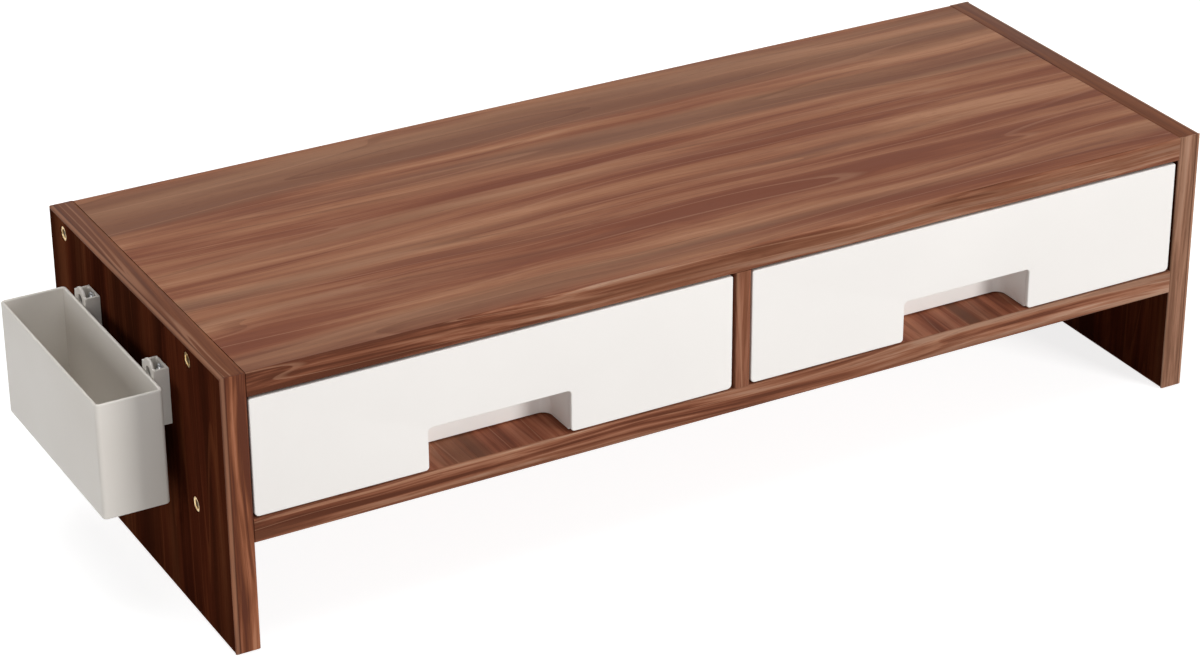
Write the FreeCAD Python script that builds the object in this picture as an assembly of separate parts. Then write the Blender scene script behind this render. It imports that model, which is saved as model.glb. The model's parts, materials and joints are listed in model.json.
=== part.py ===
"""Monitor stand of laminated boards with two drawers under its top and a pen box hung on its left side.

Millimetres. X runs along the stand's width, Y from the front to the back and Z up. The origin is at the
middle of the whole object's footprint, pen box included, on the surface that the foot pads stand on.
Each piece is written to parts/NAME.step. Inside the functions, x = 0 is the middle of the stand and
z = 0 the lower edge of its side panels; write_part moves each piece to the object's own frame.
"""

import FreeCAD, Part

import math
import os

Vec = FreeCAD.Vector
RIGHT = Vec(1, 0, 0)
BACK = Vec(0, 1, 0)
UP = Vec(0, 0, 1)

# The stand
STAND_WIDTH = 520.0
STAND_DEPTH = 200.0
BOARD = 12.0
DIVIDER = 8.0
CLEAR_UNDER_SHELF = 54.0
BAY_HEIGHT = 60.0

# Edge bands glued on the boards' cut edges
BAND = 1.0
BAND_BEVEL = 0.4

# Thin back panel that slides in grooves
BACK_PANEL = 3.0
BACK_INSET = 9.0
GROOVE_DEPTH = 4.0
GROOVE_PLAY = 0.15

# Grooves of the top board and the shelf that house the divider, stopped short of the front
HOUSING_DEPTH = 3.0
HOUSING_STOP = 12.0

# Board screws, driven through the side panels into the ends of the top board and of the shelf
SCREW_DROP = 7.5
SCREW_FRONT_INSET = 37.0
SCREW_TO_BACK_PANEL = 5.0
SCREW_LENGTH = 40.0
SCREW_SHANK = 4.0
SCREW_HEAD = 7.6
SCREW_HEAD_HEIGHT = 2.4
SCREW_SINK = 0.4
SCREW_PLAY = 0.1
SOCKET_WIDTH = 4.0
SOCKET_DEPTH = 1.8

# Foam pads under the side panels
PAD_WIDTH = 8.0
PAD_LENGTH = 20.0
PAD_HEIGHT = 1.0
PAD_INSET = 12.0

# Drawer fronts
FRONT_SIDE_GAP = 1.2
FRONT_TOP_GAP = 1.0
FRONT_BOTTOM_GAP = 0.8
FRONT_THICKNESS = 3.0
FRONT_UPPER_CORNER = 1.0
FRONT_LOWER_CORNER = 2.4
FRONT_EDGE_BEVEL = 0.6

# Finger notch in each front and the pocket behind it
NOTCH_WIDTH = 72.0
NOTCH_HEIGHT = 21.2
NOTCH_TOP_CORNER = 2.0
NOTCH_MOUTH_CORNER = 1.8
POCKET_DEPTH = 23.5
POCKET_CORNER = 5.0
POCKET_WALL = 2.0
POCKET_PLAY = 0.2

# Snap hooks on the back of each front, which catch behind the tray's front wall
SNAP_WIDTH = 8.0
SNAP_ARM = 1.6
SNAP_BARB = 1.0
SNAP_LEAD = 3.0
SNAP_PLAY = 0.2
SNAP_SIDE_INSET = 24.0
SNAP_RIM_INSET = 12.0
SNAP_FLOOR_INSET = 12.0

# Drawer trays
TRAY_WALL = 2.0
TRAY_FLOOR = 2.0
TRAY_SIDE_GAP = 3.0
TRAY_TOP_GAP = 8.0
TRAY_FRONT_CORNER = 3.0
TRAY_REAR_CORNER = 9.0
TRAY_BASE_BEVEL = 2.0
RIM_OVERHANG = 1.4
RIM_HEIGHT = 2.4
GLIDE_HEIGHT = 1.2
GLIDE_WIDTH = 3.0
GLIDE_INSET = 14.0
GLIDE_COUNT = 4
RUN_GAP = 0.3

# Both drawers sit this far to the left of their bays' middles, within their side play
DRAWER_TO_LEFT = 0.6

# Pen box
PEN_BOX_WIDTH = 32.0
PEN_BOX_LENGTH = 117.5
PEN_BOX_HEIGHT = 57.5
PEN_BOX_RIM = 113.5
PEN_BOX_MIDDLE = 5.8
PEN_BOX_WALL = 1.6
PEN_BOX_FLOOR = 2.0
PEN_BOX_CORNER = 2.2
PEN_BOX_BASE_BEVEL = 1.0

# Clips on the left side panel that carry the pen box: open-ended sleeves with an ear on their outer wall
CLIP_WIDTH = 13.5
CLIP_DEPTH = 7.3
CLIP_WALL = 1.3
CLIP_HEIGHT = 28.0
CLIP_TOP = 117.0
CLIP_END_INSET = 18.25
EAR_WIDTH = 9.6
EAR_RISE = 3.0
WINDOW_WIDTH = 7.6
SILL_RISE = 10.0
ACCESS_HOLE = 5.4
CLIP_SCREW_DROP = 3.2
CLIP_SCREW_SHANK = 2.9
CLIP_SCREW_HEAD = 5.0
CLIP_SCREW_HEAD_HEIGHT = 1.6
CLIP_SCREW_LENGTH = 10.0

# Hooks on the back of the pen box that drop behind the clips' sills
HOOK_WIDTH = 7.0
HOOK_NECK = 2.6
HOOK_DROP = 6.0
HOOK_THICKNESS = 1.8
HOOK_LEAD = 0.6
HANG_GAP = 0.3

# Sizes that follow from those above
HALF_WIDTH = STAND_WIDTH / 2
HALF_DEPTH = STAND_DEPTH / 2
FRONT = -HALF_DEPTH
SHELF_TOP = CLEAR_UNDER_SHELF + BOARD
BAY_TOP = SHELF_TOP + BAY_HEIGHT
STAND_HEIGHT = BAY_TOP + BOARD
INNER_HALF = HALF_WIDTH - BOARD
BAY_WIDTH = INNER_HALF - DIVIDER / 2
BAY_MIDDLE = DIVIDER / 2 + BAY_WIDTH / 2
BACK_REAR = HALF_DEPTH - BACK_INSET
BACK_FRONT = BACK_REAR - BACK_PANEL
CLIP_BOTTOM = CLIP_TOP - CLIP_HEIGHT
SILL_TOP = CLIP_BOTTOM + SILL_RISE
CLIP_SCREW_Z = CLIP_TOP - CLIP_SCREW_DROP
CLIP_SPACING = PEN_BOX_LENGTH - 2 * CLIP_END_INSET
PEN_GAP = CLIP_DEPTH + HANG_GAP
STAND_SHIFT = (PEN_GAP + PEN_BOX_WIDTH) / 2
SIDES = {"left": -1, "right": 1}


def block(x_span, y_span, z_span):
    """Box between the two ends given for each axis."""
    spans = [sorted(span) for span in (x_span, y_span, z_span)]
    low = Vec(*[span[0] for span in spans])
    return Part.makeBox(*[span[1] - span[0] for span in spans], low)


def corner_arc(before, corner, after, radius):
    """Start, middle and end of the arc that rounds one corner, held to what its sides have room for."""
    to_before = before - corner
    to_after = after - corner
    half_angle = to_before.getAngle(to_after) / 2
    room = 0.45 * min(to_before.Length, to_after.Length)
    reach = min(radius / math.tan(half_angle), room)
    to_before.normalize()
    to_after.normalize()
    inward = (to_before + to_after).normalize()
    centre = corner + inward * (reach / math.cos(half_angle))
    middle = centre - inward * (reach * math.tan(half_angle))
    return corner + to_before * reach, middle, corner + to_after * reach


def outline(corners):
    """Closed wire in the XY plane through (x, y, radius) corners, each rounded to its radius."""
    points = [Vec(x, y, 0) for x, y, _ in corners]
    stops = []
    for i, (_, _, radius) in enumerate(corners):
        after = points[(i + 1) % len(points)]
        if radius > 0:
            stops.append(corner_arc(points[i - 1], points[i], after, radius))
        else:
            stops.append((points[i], None, points[i]))
    edges = []
    for i, (start, middle, end) in enumerate(stops):
        if middle is not None:
            edges.append(Part.Arc(start, middle, end).toShape())
        edges.append(Part.makeLine(end, stops[(i + 1) % len(stops)][0]))
    return Part.Wire(edges)


def rectangle(x_span, y_span, radii):
    """Corners of a rectangle for outline: low x and low y first, then on round by the high x."""
    x0, x1 = sorted(x_span)
    y0, y1 = sorted(y_span)
    return [(x0, y0, radii[0]), (x1, y0, radii[1]), (x1, y1, radii[2]), (x0, y1, radii[3])]


def extruded(corners, span, turn):
    """Solid of an outline over a span of Z, then turned about the origin."""
    face = Part.Face(outline(corners))
    face.translate(UP * min(span))
    solid = face.extrude(UP * (max(span) - min(span)))
    solid.Placement = FreeCAD.Placement(Vec(0, 0, 0), turn).multiply(solid.Placement)
    return solid


def upright(corners, z_span):
    """Solid with its outline in X and Y, between two heights."""
    return extruded(corners, z_span, FreeCAD.Rotation())


def facing_front(corners, y_span):
    """Solid with its outline in X and Z, between two places along Y."""
    run = (-max(y_span), -min(y_span))
    return extruded(corners, run, FreeCAD.Rotation(RIGHT, 90))


def facing_side(corners, x_span):
    """Solid with its outline in Y and Z, between two places along X."""
    return extruded(corners, x_span, FreeCAD.Rotation(RIGHT + BACK + UP, 120))


def turned(profile, place, direction):
    """Solid of revolution of a (radius, height) profile, whose axis starts at place along direction."""
    points = [Vec(radius, 0, height) for radius, height in profile]
    solid = Part.Face(Part.makePolygon(points + points[:1])).revolve(Vec(0, 0, 0), UP, 360)
    solid.Placement = FreeCAD.Placement(place, FreeCAD.Rotation(UP, direction))
    return solid


def near(value, target):
    """True where a coordinate lies on a given plane."""
    return abs(value - target) < 0.01


def edges_where(solid, picks):
    """Edges of a solid whose middle point passes a test."""
    middles = [(edge, edge.valueAt((edge.FirstParameter + edge.LastParameter) / 2)) for edge in solid.Edges]
    return [edge for edge, middle in middles if picks(middle)]


def joined(solids):
    """One solid from several that touch or overlap."""
    return solids[0].fuse(solids[1:]).removeSplitter()


def write_part(name, solids):
    """Writes one piece, or a group of like pieces, in the object's own frame."""
    shape = solids[0] if len(solids) == 1 else Part.makeCompound(solids)
    shape.translate(Vec(STAND_SHIFT, 0, PAD_HEIGHT))
    shape.exportStep(f"parts/{name}.step")


# Boards and what fixes them


def screw_profile(play):
    """Half section of a board screw with a flat-seated head, or of its hole where play is given."""
    head_r = SCREW_HEAD / 2 + play
    shank_r = SCREW_SHANK / 2 + play
    mouth = -SCREW_SINK if play else 0.0
    end = SCREW_LENGTH + play
    return [
        (0, mouth),
        (head_r, mouth),
        (head_r, SCREW_HEAD_HEIGHT),
        (shank_r, SCREW_HEAD_HEIGHT),
        (shank_r, end),
        (0, end),
    ]


def screw_places(side):
    """Middle of each board screw's head on one side panel."""
    x = side * (HALF_WIDTH - SCREW_SINK)
    rows = (FRONT + SCREW_FRONT_INSET, BACK_FRONT - SCREW_TO_BACK_PANEL)
    return [Vec(x, y, z - SCREW_DROP) for z in (STAND_HEIGHT, SHELF_TOP) for y in rows]


def screw_cuts(side):
    """Holes of the board screws through one side panel and into the ends of the boards."""
    return [turned(screw_profile(SCREW_PLAY), place, RIGHT * -side) for place in screw_places(side)]


def board_screws(side):
    """Board screws of one side panel, each with a hexagon socket."""
    screws = []
    reach = SOCKET_WIDTH / math.sqrt(3)
    turns = [math.radians(60 * i) for i in range(6)]
    hexagon = [(reach * math.cos(turn), reach * math.sin(turn), 0) for turn in turns]
    for place in screw_places(side):
        screw = turned(screw_profile(0.0), place, RIGHT * -side)
        socket = upright(hexagon, (-SCREW_SINK, SOCKET_DEPTH))
        socket.Placement = screw.Placement
        screws.append(screw.cut(socket))
    return screws


def back_groove():
    """Space of the back panel with the play of its grooves."""
    reach = INNER_HALF + GROOVE_DEPTH
    run = (BACK_FRONT - GROOVE_PLAY, BACK_REAR + GROOVE_PLAY)
    return block((-reach, reach), run, (SHELF_TOP - GROOVE_DEPTH, BAY_TOP + GROOVE_DEPTH))


def back_panel():
    """Thin panel behind the drawers, a little smaller than its grooves."""
    bury = GROOVE_DEPTH - GROOVE_PLAY
    reach = INNER_HALF + bury
    return block((-reach, reach), (BACK_FRONT, BACK_REAR), (SHELF_TOP - bury, BAY_TOP + bury))


def housed_divider(play):
    """Tongue of the divider in the grooves above and below it, or those grooves where play is given."""
    half = DIVIDER / 2 + play
    bury = HOUSING_DEPTH - GROOVE_PLAY + play
    run = (FRONT + HOUSING_STOP - play, BACK_FRONT - GROOVE_PLAY)
    return block((-half, half), run, (SHELF_TOP - bury, BAY_TOP + bury))


def centre_divider():
    """Core of the thin board between the drawers, in front of the back panel."""
    half = DIVIDER / 2
    core = block((-half, half), (FRONT + BAND, BACK_FRONT - GROOVE_PLAY), (SHELF_TOP, BAY_TOP))
    return joined([core, housed_divider(0.0)])


def level_board(z_span):
    """Core of a board between the side panels, with its screw holes and grooves."""
    core = block((-INNER_HALF, INNER_HALF), (FRONT + BAND, HALF_DEPTH - BAND), z_span)
    screws = [cut for side in SIDES.values() for cut in screw_cuts(side)]
    return core.cut([back_groove(), housed_divider(GROOVE_PLAY), *screws])


def side_panel(side):
    """Core of a side panel: full height and depth, less its edge bands."""
    x_span = (side * INNER_HALF, side * HALF_WIDTH)
    core = block(x_span, (FRONT + BAND, HALF_DEPTH - BAND), (BAND, STAND_HEIGHT - BAND))
    cuts = [back_groove(), *screw_cuts(side)]
    if side == SIDES["left"]:
        cuts += clip_screws(SCREW_PLAY)
    return core.cut(cuts)


def band(x_span, y_span, z_span, outward):
    """Strip of edge band with its two long outer edges eased."""
    strip = block(x_span, y_span, z_span)
    box = strip.BoundBox
    along = max((box.XLength, RIGHT), (box.YLength, BACK), (box.ZLength, UP), key=lambda pair: pair[0])[1]
    outer = max(corner.Point.dot(outward) for corner in strip.Vertexes)

    def is_long_and_outer(point):
        return near(point.dot(outward), outer) and near(point.dot(along), box.Center.dot(along))

    return strip.makeChamfer(min(BAND_BEVEL, 0.8 * BAND), edges_where(strip, is_long_and_outer))


def end_bands(x_span, z_span):
    """Bands on the front and on the rear edge of a board."""
    strips = []
    for way in (-1, 1):
        y_span = (way * (HALF_DEPTH - BAND), way * HALF_DEPTH)
        strips.append(band(x_span, y_span, z_span, BACK * way))
    return strips


def divider_band():
    """Band on the divider's front edge."""
    half = DIVIDER / 2
    return band((-half, half), (FRONT, FRONT + BAND), (SHELF_TOP, BAY_TOP), BACK * -1)


def side_bands(side):
    """Bands round a side panel: front and rear ones of full height, upper and lower ones between them."""
    x_span = (side * INNER_HALF, side * HALF_WIDTH)
    inside = (FRONT + BAND, HALF_DEPTH - BAND)
    upper = band(x_span, inside, (STAND_HEIGHT - BAND, STAND_HEIGHT), UP)
    lower = band(x_span, inside, (0, BAND), UP * -1)
    return [*end_bands(x_span, (0, STAND_HEIGHT)), upper, lower]


def foot_pads():
    """Pads stuck under the front and rear ends of both side panels."""
    pads = []
    for side in SIDES.values():
        middle = side * (HALF_WIDTH - BOARD / 2)
        for way in (-1, 1):
            end = way * (HALF_DEPTH - PAD_INSET)
            x_span = (middle - PAD_WIDTH / 2, middle + PAD_WIDTH / 2)
            pads.append(block(x_span, (end, end - way * PAD_LENGTH), (-PAD_HEIGHT, 0)))
    return pads


# Drawers, modelled about the middle of their bay


def front_heights():
    """Lower and upper edge of the drawer fronts."""
    return SHELF_TOP + FRONT_BOTTOM_GAP, BAY_TOP - FRONT_TOP_GAP


def front_outline():
    """Outline of a drawer front in X and Z, with the finger notch cut up from its lower edge."""
    half = BAY_WIDTH / 2 - FRONT_SIDE_GAP
    notch = NOTCH_WIDTH / 2
    low, high = front_heights()
    top = low + NOTCH_HEIGHT
    return [
        (-half, low, FRONT_LOWER_CORNER),
        (-notch, low, NOTCH_MOUTH_CORNER),
        (-notch, top, NOTCH_TOP_CORNER),
        (notch, top, NOTCH_TOP_CORNER),
        (notch, low, NOTCH_MOUTH_CORNER),
        (half, low, FRONT_LOWER_CORNER),
        (half, high, FRONT_UPPER_CORNER),
        (-half, high, FRONT_UPPER_CORNER),
    ]


def pocket_space(low, grow):
    """Space behind the notch from a given height up, grown on its closed sides by a wall or a play."""
    half = NOTCH_WIDTH / 2 + grow
    top = front_heights()[0] + NOTCH_HEIGHT + grow
    run = (FRONT + FRONT_THICKNESS, FRONT + POCKET_DEPTH + grow)
    upper = NOTCH_TOP_CORNER + grow
    rear = POCKET_CORNER + grow
    from_front = facing_front(rectangle((-half, half), (low, top), (0, 0, upper, upper)), run)
    return from_front.common(upright(rectangle((-half, half), run, (0, 0, rear, rear)), (low, top)))


def snap_places():
    """X and Z of each snap hook and the way that its barb points, 1 up and -1 down."""
    low, high = tray_heights()
    reach = tray_half_width() - SNAP_SIDE_INSET
    rows = ((low + SNAP_FLOOR_INSET, -1), (high - SNAP_RIM_INSET, 1))
    return [(x, z, way) for x in (-reach, reach) for z, way in rows]


def snap_hook(x, z, way):
    """Springy arm with a barb that has passed through the tray's front wall."""
    root = FRONT + FRONT_THICKNESS / 2
    catch = FRONT + FRONT_THICKNESS + TRAY_WALL + SNAP_PLAY
    tip = catch + SNAP_LEAD
    half = SNAP_ARM / 2
    arm = [(root, half), (root, -half), (tip, -half), (tip, half)]
    barb = [(catch, half + SNAP_BARB), (catch, half)]
    corners = [(y, z + way * rise, 0) for y, rise in arm + barb]
    return facing_side(corners, (x - SNAP_WIDTH / 2, x + SNAP_WIDTH / 2))


def snap_window(x, z, way):
    """Hole of the tray's front wall that the barb can pass through as its arm bends."""
    half = SNAP_WIDTH / 2 + SNAP_PLAY
    held = SNAP_ARM / 2 + SNAP_PLAY
    run = (FRONT + FRONT_THICKNESS / 2, FRONT + FRONT_THICKNESS + TRAY_WALL + SNAP_PLAY)
    return block((x - half, x + half), run, (z + way * held, z - way * (held + SNAP_BARB)))


def drawer_front():
    """Moulded front: a plate with eased edges, the walls of the finger pocket and the snap hooks."""
    low = front_heights()[0]
    plate = facing_front(front_outline(), (FRONT, FRONT + FRONT_THICKNESS))
    corner = min(NOTCH_MOUTH_CORNER, FRONT_UPPER_CORNER, FRONT_LOWER_CORNER)
    bevel = min(FRONT_EDGE_BEVEL, 0.7 * corner, 0.4 * FRONT_THICKNESS)
    plate = plate.makeChamfer(bevel, edges_where(plate, lambda point: near(point.y, FRONT)))
    walls = pocket_space(low, POCKET_WALL).cut(pocket_space(low, 0.0))
    return joined([plate, walls, *[snap_hook(*place) for place in snap_places()]])


def tray_half_width():
    """Half the outer width of a tray below its rim."""
    return BAY_WIDTH / 2 - TRAY_SIDE_GAP


def tray_heights():
    """Underside of a tray's floor and upper edge of its rim."""
    return SHELF_TOP + RUN_GAP + GLIDE_HEIGHT, BAY_TOP - TRAY_TOP_GAP


def tray_run():
    """Front and rear of a tray, whose rim stops against the back panel."""
    return FRONT + FRONT_THICKNESS, BACK_FRONT - RUN_GAP - RIM_OVERHANG


def tray_plan(grow, front_corner):
    """Plan outline of a tray, grown outwards at its sides and rear, or inwards where grow is negative."""
    half = tray_half_width() + grow
    front, rear = tray_run()
    front += max(-grow, 0.0)
    rear_corner = max(TRAY_REAR_CORNER + grow, 0.5)
    radii = (front_corner, front_corner, rear_corner, rear_corner)
    return rectangle((-half, half), (front, rear + grow), radii)


def tray_glides():
    """Ribs under the floor that slide on the shelf."""
    low = tray_heights()[0]
    front, rear = tray_run()
    run = (front + POCKET_DEPTH + GLIDE_INSET, rear - GLIDE_INSET)
    span = tray_half_width() - GLIDE_INSET
    ribs = []
    for i in range(GLIDE_COUNT):
        x = span * (2 * i / (GLIDE_COUNT - 1) - 1)
        x_span = (x - GLIDE_WIDTH / 2, x + GLIDE_WIDTH / 2)
        ribs.append(block(x_span, run, (low - GLIDE_HEIGHT, low + TRAY_FLOOR / 2)))
    return ribs


def drawer_tray():
    """Moulded tray: bevelled base, overhanging rim, glides, and room for the front's pocket and hooks."""
    low, high = tray_heights()
    shell = upright(tray_plan(0.0, TRAY_FRONT_CORNER), (low, high))
    bevel = min(TRAY_BASE_BEVEL, 0.8 * TRAY_FRONT_CORNER, 0.6 * (TRAY_WALL + TRAY_FLOOR))
    shell = shell.makeChamfer(bevel, edges_where(shell, lambda point: near(point.z, low)))
    rim = upright(tray_plan(RIM_OVERHANG, 0.0), (high - RIM_HEIGHT, high))
    inner_corner = max(TRAY_FRONT_CORNER - TRAY_WALL, 0.5)
    inside = upright(tray_plan(-TRAY_WALL, inner_corner), (low + TRAY_FLOOR, high + TRAY_WALL))
    room = pocket_space(SHELF_TOP, POCKET_WALL + POCKET_PLAY)
    windows = [snap_window(*place) for place in snap_places()]
    return joined([shell, rim, *tray_glides()]).cut([inside, room, *windows])


# Pen box and its clips


def clip_rows():
    """Y of the middles of both clips."""
    return (PEN_BOX_MIDDLE - CLIP_SPACING / 2, PEN_BOX_MIDDLE + CLIP_SPACING / 2)


def round_hole(diameter, start, depth):
    """Cylinder along X to cut a round hole with."""
    return Part.makeCylinder(diameter / 2, depth, start, RIGHT)


def pen_clip(y_middle):
    """Clip: an open-ended sleeve whose outer wall has a round ear, the screw's hole and the hook's window."""
    outer = -HALF_WIDTH - CLIP_DEPTH
    half = CLIP_WIDTH / 2
    heights = (CLIP_BOTTOM, CLIP_TOP)
    sleeve = block((outer, -HALF_WIDTH), (y_middle - half, y_middle + half), heights)
    inside = half - CLIP_WALL
    room = (outer + CLIP_WALL, -HALF_WIDTH - CLIP_WALL)
    open_ends = (CLIP_BOTTOM - CLIP_WALL, CLIP_TOP + CLIP_WALL)
    sleeve = sleeve.cut(block(room, (y_middle - inside, y_middle + inside), open_ends))
    ear_half = EAR_WIDTH / 2
    ear_sides = (y_middle - ear_half, y_middle + ear_half)
    ear_plan = rectangle(ear_sides, (CLIP_BOTTOM, CLIP_TOP + EAR_RISE), (0, 0, ear_half, ear_half))
    ear = facing_side(ear_plan, (outer, outer + CLIP_WALL))
    y_window = (y_middle - WINDOW_WIDTH / 2, y_middle + WINDOW_WIDTH / 2)
    window_top = SILL_TOP + HOOK_NECK + HOOK_DROP + 3 * HANG_GAP
    window = block((outer - CLIP_WALL, outer + 2 * CLIP_WALL), y_window, (SILL_TOP, window_top))
    access = round_hole(ACCESS_HOLE, Vec(outer - CLIP_WALL, y_middle, CLIP_SCREW_Z), 3 * CLIP_WALL)
    bore = round_hole(CLIP_SCREW_SHANK + 2 * SCREW_PLAY, Vec(outer, y_middle, CLIP_SCREW_Z), CLIP_DEPTH)
    return joined([sleeve, ear]).cut([window, access, bore])


def clip_screws(play):
    """Screw of each clip with a flat round head, or its hole in the side panel where play is given."""
    head_r = CLIP_SCREW_HEAD / 2
    shank_r = CLIP_SCREW_SHANK / 2 + play
    end = CLIP_SCREW_LENGTH + play
    profile = [
        (0, -CLIP_SCREW_HEAD_HEIGHT),
        (head_r, -CLIP_SCREW_HEAD_HEIGHT),
        (head_r, 0),
        (shank_r, 0),
        (shank_r, end),
        (0, end),
    ]
    seat = -HALF_WIDTH - CLIP_WALL
    return [turned(profile, Vec(seat, y, CLIP_SCREW_Z), RIGHT) for y in clip_rows()]


def pen_box_plan(inset, radius):
    """Plan outline of the pen box's outer wall, or of its inside where inset is given."""
    wall = -HALF_WIDTH - PEN_GAP
    half = PEN_BOX_LENGTH / 2 - inset
    x_span = (wall - PEN_BOX_WIDTH + inset, wall - inset)
    y_span = (PEN_BOX_MIDDLE - half, PEN_BOX_MIDDLE + half)
    return rectangle(x_span, y_span, [radius] * 4)


def pen_hook(y_middle):
    """Hook on the pen box's wall: a neck through the clip's window and a tongue down behind its sill."""
    wall = -HALF_WIDTH - PEN_GAP - PEN_BOX_WALL / 2
    front = -HALF_WIDTH - CLIP_DEPTH + CLIP_WALL + HANG_GAP
    back = front + HOOK_THICKNESS
    rest = SILL_TOP + HANG_GAP
    tip = rest - HOOK_DROP
    side_view = [
        (wall, rest),
        (front, rest),
        (front, tip + HOOK_LEAD),
        (front + HOOK_LEAD, tip),
        (back, tip),
        (back, rest + HOOK_NECK),
        (wall, rest + HOOK_NECK),
    ]
    corners = [(x, z, 0) for x, z in side_view]
    return facing_front(corners, (y_middle - HOOK_WIDTH / 2, y_middle + HOOK_WIDTH / 2))


def pen_box():
    """Moulded open box with rounded upright corners and a hook for each clip."""
    base = PEN_BOX_RIM - PEN_BOX_HEIGHT
    outside = upright(pen_box_plan(0.0, PEN_BOX_CORNER), (base, PEN_BOX_RIM))
    bevel = min(PEN_BOX_BASE_BEVEL, 0.8 * PEN_BOX_CORNER, 0.6 * (PEN_BOX_WALL + PEN_BOX_FLOOR))
    outside = outside.makeChamfer(bevel, edges_where(outside, lambda point: near(point.z, base)))
    inner_corner = max(PEN_BOX_CORNER - PEN_BOX_WALL, 0.5)
    inside_heights = (base + PEN_BOX_FLOOR, PEN_BOX_RIM + PEN_BOX_WALL)
    inside = upright(pen_box_plan(PEN_BOX_WALL, inner_corner), inside_heights)
    hooks = [pen_hook(y) for y in clip_rows()]
    return joined([outside, *hooks]).cut(inside)


def write_stand():
    """Boards, bands, fixings and clips: everything that stands still."""
    write_part("top_board", [level_board((BAY_TOP, STAND_HEIGHT))])
    write_part("drawer_shelf", [level_board((CLEAR_UNDER_SHELF, SHELF_TOP))])
    write_part("centre_divider", [centre_divider()])
    write_part("back_panel", [back_panel()])
    between = (-INNER_HALF, INNER_HALF)
    write_part("top_board_bands", end_bands(between, (BAY_TOP, STAND_HEIGHT)))
    write_part("drawer_shelf_bands", end_bands(between, (CLEAR_UNDER_SHELF, SHELF_TOP)))
    write_part("divider_band", [divider_band()])
    for name, side in SIDES.items():
        write_part(f"side_panel_{name}", [side_panel(side)])
        write_part(f"side_bands_{name}", side_bands(side))
        write_part(f"side_screws_{name}", board_screws(side))
    write_part("foot_pads", foot_pads())
    for name, y in zip(("front", "rear"), clip_rows()):
        write_part(f"pen_clip_{name}", [pen_clip(y)])
    write_part("pen_clip_screws", clip_screws(0.0))


def write_drawers():
    """Front and tray of each drawer, the same in both bays."""
    for name, side in SIDES.items():
        for piece, shape in (("front", drawer_front()), ("tray", drawer_tray())):
            shape.translate(RIGHT * (side * BAY_MIDDLE - DRAWER_TO_LEFT))
            write_part(f"drawer_{piece}_{name}", [shape])


os.makedirs("parts", exist_ok=True)
write_stand()
write_drawers()
write_part("pen_box", [pen_box()])
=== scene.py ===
"""Scene of a monitor stand: walnut-look boards, two white drawers and a grey pen box hung on its left side.

Lengths are millimetres until a mesh is made. As in the frame, x runs along the width, y from the front to
the back and z up; x = 0 is the middle of the stand and z = 0 the lower edge of its side panels, and Bench
moves each piece to the frame's own origin.
"""

import json
import logging
import math
from collections.abc import Iterable, Sequence
from dataclasses import dataclass, field
from enum import Enum

import bmesh
import bpy
import numpy as np
from mathutils import Matrix, Vector

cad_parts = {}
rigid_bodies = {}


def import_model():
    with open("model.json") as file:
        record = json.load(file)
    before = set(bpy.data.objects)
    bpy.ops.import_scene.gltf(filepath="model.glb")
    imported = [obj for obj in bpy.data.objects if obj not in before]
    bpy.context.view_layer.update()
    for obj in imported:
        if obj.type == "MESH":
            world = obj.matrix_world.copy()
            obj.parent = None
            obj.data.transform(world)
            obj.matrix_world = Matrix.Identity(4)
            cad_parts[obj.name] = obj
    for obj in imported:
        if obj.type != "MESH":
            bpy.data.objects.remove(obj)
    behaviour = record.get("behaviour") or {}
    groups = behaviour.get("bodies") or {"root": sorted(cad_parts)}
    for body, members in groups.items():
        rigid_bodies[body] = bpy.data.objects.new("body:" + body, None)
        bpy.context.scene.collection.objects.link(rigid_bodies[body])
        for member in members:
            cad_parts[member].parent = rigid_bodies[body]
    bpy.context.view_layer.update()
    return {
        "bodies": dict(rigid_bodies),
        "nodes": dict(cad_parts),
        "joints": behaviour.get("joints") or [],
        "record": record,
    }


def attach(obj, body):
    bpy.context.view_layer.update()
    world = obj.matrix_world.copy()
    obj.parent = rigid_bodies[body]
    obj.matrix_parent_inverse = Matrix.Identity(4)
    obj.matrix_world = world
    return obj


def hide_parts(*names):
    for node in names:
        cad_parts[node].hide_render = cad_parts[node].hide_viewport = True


LOG = logging.getLogger("monitor_stand")
SIDES = {"left": -1.0, "right": 1.0}


# Sizes that the sub-assemblies share


@dataclass(frozen=True)
class Layout:
    """The stand's main sizes, which every sub-assembly is placed by."""

    width: float = 520.0
    depth: float = 200.0
    board: float = 12.0
    divider: float = 8.0
    clear_under: float = 54.0
    bay_height: float = 60.0
    band: float = 1.0
    pad_height: float = 1.0
    clip_depth: float = 7.3
    pen_gap: float = 7.6
    pen_box_width: float = 32.0

    @property
    def half_width(self) -> float:
        """Half the width over both side panels."""
        return self.width / 2

    @property
    def front(self) -> float:
        """Y of the stand's front plane."""
        return -self.depth / 2

    @property
    def inner_half(self) -> float:
        """X of the right side panel's inner face."""
        return self.half_width - self.board

    @property
    def shelf_top(self) -> float:
        """Height of the surface that the drawers run on."""
        return self.clear_under + self.board

    @property
    def bay_top(self) -> float:
        """Height of the top board's underside."""
        return self.shelf_top + self.bay_height

    @property
    def height(self) -> float:
        """Height of the side panels."""
        return self.bay_top + self.board

    @property
    def bay_width(self) -> float:
        """Clear width of one drawer bay."""
        return self.inner_half - self.divider / 2

    @property
    def bay_middle(self) -> float:
        """X of the right bay's middle."""
        return self.divider / 2 + self.bay_width / 2

    @property
    def shift(self) -> np.ndarray:
        """Move from the stand's own middle to the frame's origin."""
        return np.array([(self.pen_gap + self.pen_box_width) / 2, 0.0, self.pad_height])


# Surfaces worked out as arrays


class Axis(Enum):
    """Direction that a section is carried along, with where its two plane coordinates go."""

    X = (1, 2, 0)
    Y = (0, 2, 1)
    Z = (0, 1, 2)


@dataclass(frozen=True)
class Skin:
    """Points and faces of one closed surface, in millimetres."""

    points: np.ndarray
    faces: list[list[int]]


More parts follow.
